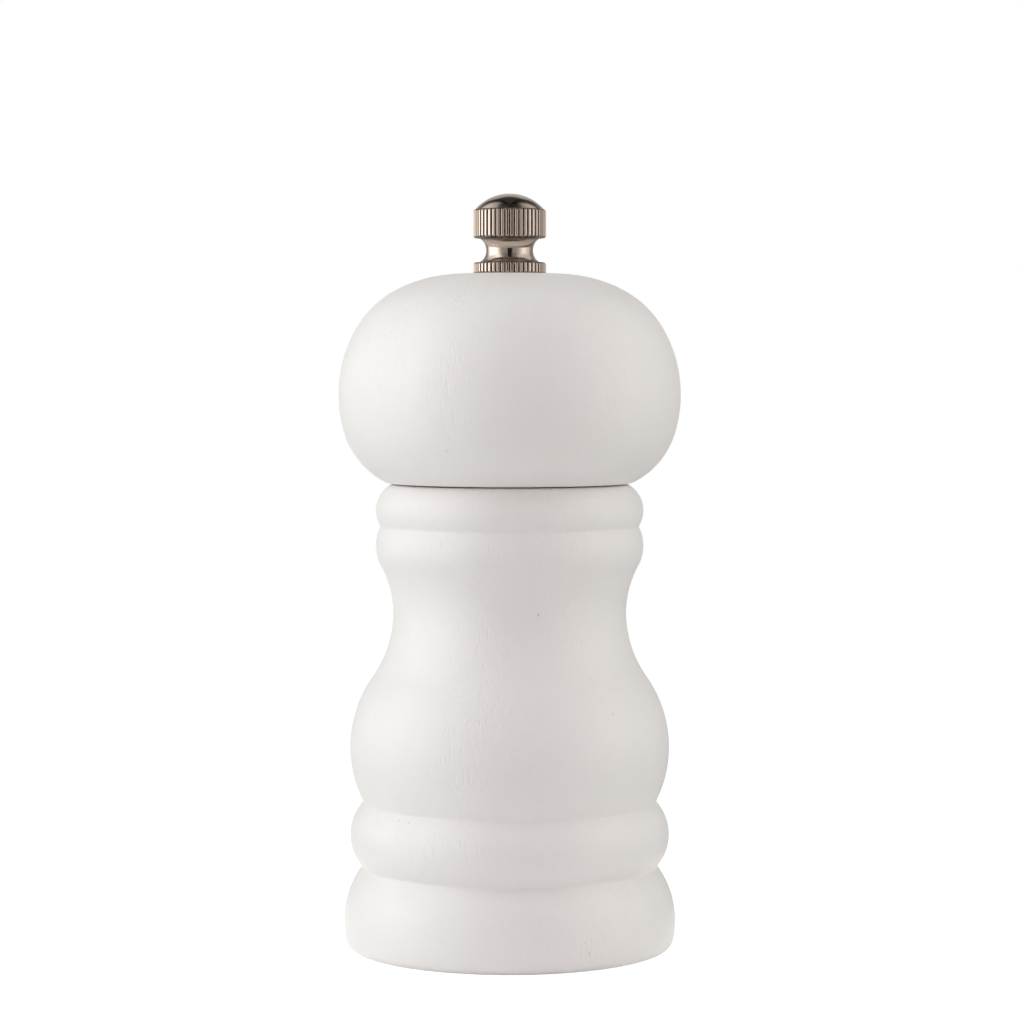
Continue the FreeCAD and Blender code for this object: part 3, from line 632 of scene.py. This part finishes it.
# Knob: knurled flange, waisted neck, knurled drum and polished dome.
def makeKnob():
    knob = {
        "flange": (6.18, 1.95),
        "neck": (5.1, 3.96, 4.1),
        "drum": (6.17, 4.85),
        "dome": (5.8, 2.67),
        "rim": 0.3,
        "rimEase": 0.08,
        "neckEase": 0.15,
        "hole": (2.55, 9.0),
        "ridges": 48,
        "samples": 16,  # points round each ridge
        "depth": 0.3,
        "crest": 0.45,  # share of a ridge that its crest takes
        "crown": 0.08,  # share of the depth by which the crest is rounded
        "colour": (0.68, 0.563, 0.482),
        "roughness": 0.1,
        "grimeAndShadeFrom": (0.06, 0.18),  # below the crest: where the grime and painted shade begin, and where they are full
        "grimeAndShadeTo": (0.04, 0.08),  # below the groove: where they are still full, and where they end
        "grimeAndShadeSpread": 0.8,
    }
    seat, top = (point.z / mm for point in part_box("knob"))
    flange, flangeHeight = knob["flange"]
    neckEnd, neckMiddle, neckHeight = knob["neck"]
    drum, drumHeight = knob["drum"]
    dome, domeHeight = knob["dome"]
    rim, rimEase, neckEase = knob["rim"], knob["rimEase"], knob["neckEase"]
    hole, holeDepth = knob["hole"]
    flangeTop = seat + flangeHeight
    drumBottom = flangeTop + neckHeight
    drumTop = drumBottom + drumHeight
    ball = (dome ** 2 + domeHeight ** 2) / (2 * domeHeight)
    half = dome / 2
    onDome = (half, top - ball + math.sqrt(ball ** 2 - half ** 2))
    corners = [
        corner(0.0, seat + holeDepth, ease=0.0),
        corner(hole, seat + holeDepth, ease=0.1),
        corner(hole, seat, ease=0.3),
        corner(flange - rim, seat, ease=rimEase),
        corner(flange, seat + rim, ease=rimEase),
        corner(flange, flangeTop - rim, ease=rimEase),
        corner(flange - rim, flangeTop, ease=rimEase),
        corner(neckEnd, flangeTop, ease=neckEase),
        corner(neckEnd, drumBottom, (neckMiddle, flangeTop + neckHeight / 2), ease=neckEase),
        corner(drum - rim, drumBottom, ease=rimEase),
        corner(drum, drumBottom + rim, ease=rimEase),
        corner(drum, drumTop - rim, ease=rimEase),
        corner(drum - rim, drumTop, ease=rimEase),
        corner(dome, drumTop, ease=rimEase),
        corner(0.0, top, onDome, ease=0.0),
    ]

    def knurled(point, angle):
        # nearly flat crests with a vee groove between two of them
        fromCrest = abs((angle * knob["ridges"] / (2 * math.pi)) % 1.0 - 0.5) * 2
        flank = max(0.0, (fromCrest - knob["crest"]) / (1 - knob["crest"]))
        cut = knob["depth"] * ((1 - knob["crown"]) * flank + knob["crown"] * fromCrest ** 2)
        widest = flange if point.y < flangeTop + rim else drum
        return min(point.x, widest - cut)

    # the knob's mask of grime and painted shade in its grooves and at its neck's corners
    def grimeAndShade(tree):
        groove = drum - knob["depth"]
        radii = [drum - depth for depth in knob["grimeAndShadeFrom"]] + [groove - depth for depth in knob["grimeAndShadeTo"]]
        return knobGrimeAndShade(tree, radii, neckEnd, (flangeTop, drumBottom), knob["grimeAndShadeSpread"])

    nickel = metalMaterial("warmNickel", knob["colour"], knob["roughness"], smear=0.12, dirtAndShade=grimeAndShade)
    turns = knob["ridges"] * knob["samples"]
    piece = turnPiece("knobTurning", corners, turns, [nickel], knurled, spacing=0.22)
    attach(piece, "adjusting_knob")
    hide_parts("knob")


# Square shaft with a cut thread at each end.
def makeShaft():
    shaft = {
        "side": 5.0,
        "edge": 0.45,
        "edgeSteps": 5,
        "squareFrom": 6.3,
        "squareTo": 102.41,
        "shoulders": (0.35, 0.5),  # the square's chamfers at its lower and upper end
        "pitch": 0.8,
        "threadDepth": 0.43,
        "crestFlat": 0.1,
        "flankShare": 0.75,
        "chamfer": 0.5,
        "overlap": (0.4, 0.6),  # how far each thread runs into the square
        "turns": 48,
        "rowsPerTurn": 8,
    }
    bottom, top = (point.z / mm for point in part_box("shaft"))
    shape = newShape()

    def squareRing(height, inset):
        edge, steps = shaft["edge"], shaft["edgeSteps"]
        side = shaft["side"] / 2 - inset - edge
        ring = []
        for quarter in range(4):
            middle = math.pi / 4 + quarter * math.pi / 2
            centre = Vector((math.copysign(side, math.cos(middle)), math.copysign(side, math.sin(middle))))
            for step in range(steps + 1):
                angle = middle - math.pi / 4 + step / steps * math.pi / 2
                spot = centre + edge * Vector((math.cos(angle), math.sin(angle)))
                ring.append(Vector((spot.x, spot.y, height)))
        return ring

    low, high = shaft["squareFrom"], shaft["squareTo"]
    lowShoulder, highShoulder = shaft["shoulders"]
    square = [
        squareRing(low, lowShoulder),
        squareRing(low + lowShoulder, 0.0),
        squareRing(high - highShoulder, 0.0),
        squareRing(high, highShoulder),
    ]
    addRings(shape, square, [0] * len(square), capped=True)

    def threadRings(start, end, free):
        count = round((end - start) / shaft["pitch"] * shaft["rowsPerTurn"])
        rings = []
        for row in range(count + 1):
            height = start + (end - start) * row / count
            fromFree = abs(height - free)
            limit = shaft["side"] / 2 - max(0.0, shaft["chamfer"] - fromFree)
            ring = []
            for turn in range(shaft["turns"]):
                share = turn / shaft["turns"]
                wave = abs(((height / shaft["pitch"] - share) % 1.0) * 2 - 1)
                flank = min(1.0, max(0.0, (wave - shaft["crestFlat"]) / shaft["flankShare"]))
                radius = min(limit, shaft["side"] / 2 - shaft["threadDepth"] * (1 - flank))
                angle = 2 * math.pi * share
                ring.append(Vector((radius * math.cos(angle), radius * math.sin(angle), height)))
            rings.append(ring)
        return rings

    lowOverlap, highOverlap = shaft["overlap"]
    for start, end, free in ((bottom, low + lowOverlap, bottom), (high - highOverlap, top, top)):
        rings = threadRings(start, end, free)
        addRings(shape, rings, [0] * len(rings), capped=True)
    piece = makePiece("shaftBar", shape, [drawnBar], sharp=35)
    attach(piece, "shaft_assembly")
    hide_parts("shaft")


# Coil of round wire.
def makeSpring():
    spring = {"wire": 0.45, "coils": 5, "stepsPerCoil": 40, "around": 14}
    lowest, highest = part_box("spring")
    wire = spring["wire"]
    coil = highest.x / mm - wire
    low, high = lowest.z / mm + wire, highest.z / mm - wire
    count = spring["coils"] * spring["stepsPerCoil"]
    slope = math.atan2((high - low) / spring["coils"], 2 * math.pi * coil)
    rings = []
    for step in range(count + 1):
        turn = 2 * math.pi * step / spring["stepsPerCoil"]
        outward = Vector((math.cos(turn), math.sin(turn), 0))
        upward = Vector((0, 0, math.cos(slope))) - math.sin(slope) * Vector((-outward.y, outward.x, 0))
        centre = outward * coil + Vector((0, 0, low + (high - low) * step / count))
        ring = []
        for spot in range(spring["around"]):
            angle = 2 * math.pi * spot / spring["around"]
            ring.append(centre + wire * (math.cos(angle) * outward + math.sin(angle) * upward))
        rings.append(ring)
    shape = newShape()
    addRings(shape, rings, [0] * len(rings), capped=True)
    piece = makePiece("springWire", shape, [zincSteel])
    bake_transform(piece)
    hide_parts("spring")


# The small parts keep their drawn shape and get broken edges.
def softenNode(node, body, material, width):
    soften = {"weld": 0.002, "flatAngle": 0.4, "edgeAngle": 32, "segments": 2}
    flatAngle, edgeAngle = math.radians(soften["flatAngle"]), math.radians(soften["edgeAngle"])
    work = bmesh.new()
    work.from_mesh(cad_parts[node].data)
    bmesh.ops.remove_doubles(work, verts=work.verts, dist=soften["weld"] * mm)
    bmesh.ops.dissolve_limit(
        work, angle_limit=flatAngle, verts=work.verts, edges=work.edges, delimit=set()
    )
    bmesh.ops.recalc_face_normals(work, faces=work.faces)
    work.verts.index_update()
    points = [vert.co.copy() for vert in work.verts]
    faces = [[vert.index for vert in face.verts] for face in work.faces]
    work.free()
    mesh = bpy.data.meshes.new(node + "Finished")
    mesh.from_pydata(points, [], faces)
    mesh.materials.append(material)
    piece = bpy.data.objects.new(node + "Finished", mesh)
    bpy.context.scene.collection.objects.link(piece)
    bevel = piece.modifiers.new("brokenEdges", "BEVEL")
    bevel.width = width * mm
    bevel.segments = soften["segments"]
    bevel.limit_method = "ANGLE"
    bevel.angle_limit = edgeAngle
    bevel.use_clamp_overlap = True
    mesh.shade_smooth()
    mesh.set_sharp_from_angle(angle=edgeAngle)
    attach(piece, body)
    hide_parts(node)


makeBody()
makeHead()
print("wooden turnings made")
makeKnob()
makeShaft()
print("knob and shaft made")

smallParts = [
    # node, body, slot, material, edge width in millimetres
    ("grinder_housing", "mill_base", "moulded_plastic", charcoalPlastic, 0.3),
    ("shaft_bridge", "mill_base", "moulded_plastic", charcoalPlastic, 0.15),
    ("bridge_bush", "spring_carriage", "moulded_plastic", charcoalPlastic, 0.12),
    ("rotor_core", "shaft_assembly", "moulded_plastic", charcoalPlastic, 0.12),
    ("stator_ring", "mill_base", "ceramic", firedCeramic, 0.08),
    ("rotor", "shaft_assembly", "ceramic", firedCeramic, 0.08),
    ("stator_retainer", "mill_base", "plated_steel", zincSteel, 0.08),
    ("housing_screws", "mill_base", "plated_steel", zincSteel, 0.06),
    ("thrust_washer", "spring_carriage", "plated_steel", zincSteel, 0.06),
    ("rotor_washer", "shaft_assembly", "plated_steel", zincSteel, 0.12),
    ("shaft_nut", "shaft_assembly", "plated_steel", zincSteel, 0.25),
    ("drive_plate", "head_assembly", "plated_steel", zincSteel, 0.15),
    ("drive_plate_screws", "head_assembly", "plated_steel", zincSteel, 0.06),
]
for node, body, slot, material, width in smallParts:
    softenNode(node, body, material, width)
makeSpring()
print("grinder parts made")


# Studio: a white floor that keeps a soft shadow, lamps at the sides, and a tent for reflections.
def makeFloor():
    floor = {"radius": 0.9, "sides": 64, "glow": 0.8, "paper": (0.86, 0.86, 0.855)}
    points = [Vector((0, 0, 0))]
    radius, count = floor["radius"], floor["sides"]
    for turn in range(count):
        angle = 2 * math.pi * turn / count
        points.append(Vector((radius * math.cos(angle), radius * math.sin(angle), 0)))
    mesh = bpy.data.meshes.new("studioFloor")
    mesh.from_pydata(points, [], [(0, 1 + i, 1 + (i + 1) % count) for i in range(count)])
    material = bpy.data.materials.new("whiteFloor")
    material.use_nodes = True
    tree = material.node_tree
    tree.nodes.clear()
    path = addNode(tree, "ShaderNodeLightPath")
    seen = addMath(tree, "MAXIMUM", path.outputs["Is Camera Ray"], path.outputs["Is Glossy Ray"])
    seen = addMath(tree, "MAXIMUM", seen, path.outputs["Is Transmission Ray"])
    paper = addNode(tree, "ShaderNodeBsdfDiffuse", {"Color": (*floor["paper"], 1)})
    glow = addNode(
        tree,
        "ShaderNodeEmission",
        {"Color": (1, 1, 1, 1), "Strength": addMath(tree, "MULTIPLY", seen, floor["glow"])},
    )
    both = addNode(tree, "ShaderNodeAddShader", {0: paper.outputs[0], 1: glow.outputs[0]})
    result = addNode(tree, "ShaderNodeOutputMaterial")
    tree.links.new(both.outputs[0], result.inputs["Surface"])
    mesh.materials.append(material)
    stage = bpy.data.objects.new("studioFloor", mesh)
    bpy.context.scene.collection.objects.link(stage)


def makeWorld():
    light = {"ambient": 0.13, "seen": 1.0}
    world = bpy.data.worlds.new("studioWorld")
    bpy.context.scene.world = world
    world.use_nodes = True
    tree = world.node_tree
    background = tree.nodes["Background"]
    path = addNode(tree, "ShaderNodeLightPath")
    seen = addMath(tree, "MAXIMUM", path.outputs["Is Camera Ray"], path.outputs["Is Glossy Ray"])
    seen = addMath(tree, "MAXIMUM", seen, path.outputs["Is Transmission Ray"])
    strength = addNode(
        tree,
        "ShaderNodeMapRange",
        {"Value": seen, "To Min": light["ambient"], "To Max": light["seen"]},
    )
    tree.links.new(strength.outputs[0], background.inputs["Strength"])
    background.inputs["Color"].default_value = (1, 1, 1, 1)


def addLamp(name, azimuth, elevation, distance, size, power, colour):
    # azimuth is counted from the camera's side, positive to its right
    aim = 0.06  # height on the mill that every lamp points at, in metres
    a, e = math.radians(azimuth), math.radians(elevation)
    place = Vector((math.sin(a) * math.cos(e), -math.cos(a) * math.cos(e), math.sin(e))) * distance
    data = bpy.data.lights.new(name, "AREA")
    data.shape = "RECTANGLE"
    data.size, data.size_y = size
    data.energy = power
    data.color = colour
    lamp = bpy.data.objects.new(name, data)
    lamp.visible_glossy = False  # the tent stands for it in reflections
    lamp.location = place + Vector((0, 0, aim))
    lamp.rotation_euler = (-place).to_track_quat("-Z", "Y").to_euler()
    bpy.context.scene.collection.objects.link(lamp)


# What the metal and the satin of the paint reflect: a tent round the mill, bright at both sides,
# grey in front and behind, dark overhead, with the dark slit that the camera looks through.
def makeTent():
    tent = {
        "reach": 0.6,
        "middle": 0.12,
        "lowest": -4,
        "skirt": (0.07, 0.0006),  # where its cloth lies on the floor: inner radius, height
        "columns": 48,
        "rows": 18,
        "brightest": 2.5,
        "tint": (1, 0.99, 0.97),
        # degrees from the camera's side, then the glow there, low down and higher up
        "low": [
            (-180, 0.6), (-160, 0.4), (-138, 0.3), (-118, 1.5), (-108, 2.5), (-70, 2.5),
            (-56, 1.3), (-46, 0.65), (-36, 0.44), (-11, 0.32), (-9, 0.02), (11, 0.02),
            (13, 0.3), (35, 0.45), (50, 0.72), (62, 1.2), (72, 1.5), (86, 1.3),
            (100, 0.95), (112, 0.75), (130, 0.25), (160, 0.4), (180, 0.6),
        ],
        "high": [
            (-180, 0.62), (-165, 0.6), (-157, 0.08), (-148, 0.08), (-138, 0.85), (-100, 1.2),
            (-70, 1.8), (-56, 1.2), (-46, 0.6), (-36, 0.3), (-11, 0.2), (-9, 0.02),
            (11, 0.02), (13, 0.2), (35, 0.3), (62, 0.9), (100, 0.8), (133, 0.75),
            (144, 0.08), (157, 0.08), (165, 0.6), (180, 0.62),
        ],
        "floor": [
            (-180, 0.5), (-140, 0.65), (-80, 0.9), (-40, 0.55), (0, 0.42),
            (50, 0.36), (90, 0.2), (140, 0.25), (180, 0.5),
        ],
        # degrees up, then the share of the high pattern and of the glow
        "rise": [(0, 0.0), (22, 0.0), (36, 1.0), (90, 1.0)],
        "up": [(0, 1.0), (50, 1.0), (66, 0.5), (71, 0.14), (76, 0.05), (90, 0.04)],
        "backUp": [(0, 1.0), (38, 1.0), (52, 0.1), (90, 0.06)],
        # share of a full turn round, then how much of the glow there is that of the back
        "behind": [(0.06, 1.0), (0.09, 0.0), (0.91, 0.0), (0.94, 1.0)],
    }
    columns, rows = tent["columns"], tent["rows"]
    hem, hemHeight = tent["skirt"]
    points = []
    for row in range(rows + 1):
        # two rows on the floor, then up the side to the top
        up = math.radians(tent["lowest"] + (90 - tent["lowest"]) * max(0, row - 2) / (rows - 2))
        radius, height = tent["reach"] * math.cos(up), tent["middle"] + tent["reach"] * math.sin(up)
        if row < 2:
            radius, height = (hem, hemHeight) if row == 0 else (radius, hemHeight)
        for column in range(columns + 1):
            turn = 2 * math.pi * column / columns
            points.append(Vector((radius * math.sin(turn), -radius * math.cos(turn), height)))
    faces = []
    for row in range(rows):
        for column in range(columns):
            first = row * (columns + 1) + column
            above = first + columns + 1
            faces.append((first, first + 1, above + 1, above))
    mesh = bpy.data.meshes.new("studioTent")
    mesh.from_pydata(points, [], faces)
    material = bpy.data.materials.new("tentCloth")
    material.use_nodes = True
    tree = material.node_tree
    tree.nodes.clear()
    where = addNode(tree, "ShaderNodeTexCoord").outputs["Object"]
    place = addNode(tree, "ShaderNodeSeparateXYZ", {0: where}).outputs
    turn = addMath(tree, "ARCTAN2", place[0], addMath(tree, "MULTIPLY", place[1], -1.0))
    turnShare = addMath(tree, "MULTIPLY_ADD", turn, 0.5 / math.pi, 0.5)
    rise = addMath(tree, "DIVIDE", addMath(tree, "SUBTRACT", place[2], tent["middle"]), tent["reach"])
    upShare = addMath(tree, "MULTIPLY", addMath(tree, "ARCSINE", rise), 2 / math.pi)

    def rampRound(stops):
        # ramp colours stop at white, so the glow is drawn below its strength
        scaled = [((angle + 180) / 360, glow / tent["brightest"]) for angle, glow in stops]
        return addRamp(tree, turnShare, scaled)

    def rampUp(stops):
        return addRamp(tree, upShare, [(angle / 90, share) for angle, share in stops])

    around = mixColours(tree, rampUp(tent["rise"]), rampRound(tent["low"]), rampRound(tent["high"]))
    behind = addRamp(tree, turnShare, tent["behind"])
    lying = addMath(tree, "LESS_THAN", place[2], hemHeight * 2)
    around = mixColours(tree, lying, around, rampRound(tent["floor"]))
    up = mixColours(tree, behind, rampUp(tent["up"]), rampUp(tent["backUp"]))
    glow = addMath(tree, "MULTIPLY", addMath(tree, "MULTIPLY", around, up), tent["brightest"])
    shine = addNode(tree, "ShaderNodeEmission", {"Color": (*tent["tint"], 1), "Strength": glow})
    result = addNode(tree, "ShaderNodeOutputMaterial")
    tree.links.new(shine.outputs[0], result.inputs["Surface"])
    mesh.materials.append(material)
    stage = bpy.data.objects.new("studioTent", mesh)
    bpy.context.scene.collection.objects.link(stage)
    stage.visible_camera = False
    stage.visible_diffuse = False
    stage.visible_shadow = False
    stage.visible_transmission = False
    stage.visible_volume_scatter = False


def makeCamera():
    view = {
        "place": (0.0004, -0.53, 0.09831),
        "pitchDown": 2.615,
        "lens": 109.83,
        "sensor": 36.0,
        "clip": (0.01, 20.0),
    }
    data = bpy.data.cameras.new("photoCamera")
    data.lens = view["lens"]
    data.sensor_width = view["sensor"]
    data.clip_start, data.clip_end = view["clip"]
    camera = bpy.data.objects.new("photoCamera", data)
    camera.location = view["place"]
    camera.rotation_euler = (math.radians(90 - view["pitchDown"]), 0, 0)
    bpy.context.scene.collection.objects.link(camera)
    bpy.context.scene.camera = camera


makeFloor()
makeWorld()
lamps = [
    # name, azimuth, elevation, distance, size, power, colour
    ("leftLamp", -88, 8, 0.75, (0.5, 0.9), 5.15, (0.955, 1.0, 0.985)),
    ("rightLamp", 97, 8, 0.75, (0.5, 0.9), 3.5, (0.985, 0.995, 0.95)),
    ("topLamp", 0, 80, 0.75, (0.7, 0.7), 1.9, (1.0, 1.0, 0.98)),
    ("frontLamp", 0, 20, 0.9, (0.8, 0.6), 2.3, (1.0, 0.955, 0.93)),
]
for lamp in lamps:
    addLamp(*lamp)
makeTent()
makeCamera()
bpy.context.scene.view_settings.view_transform = "Standard"
print("studio ready")
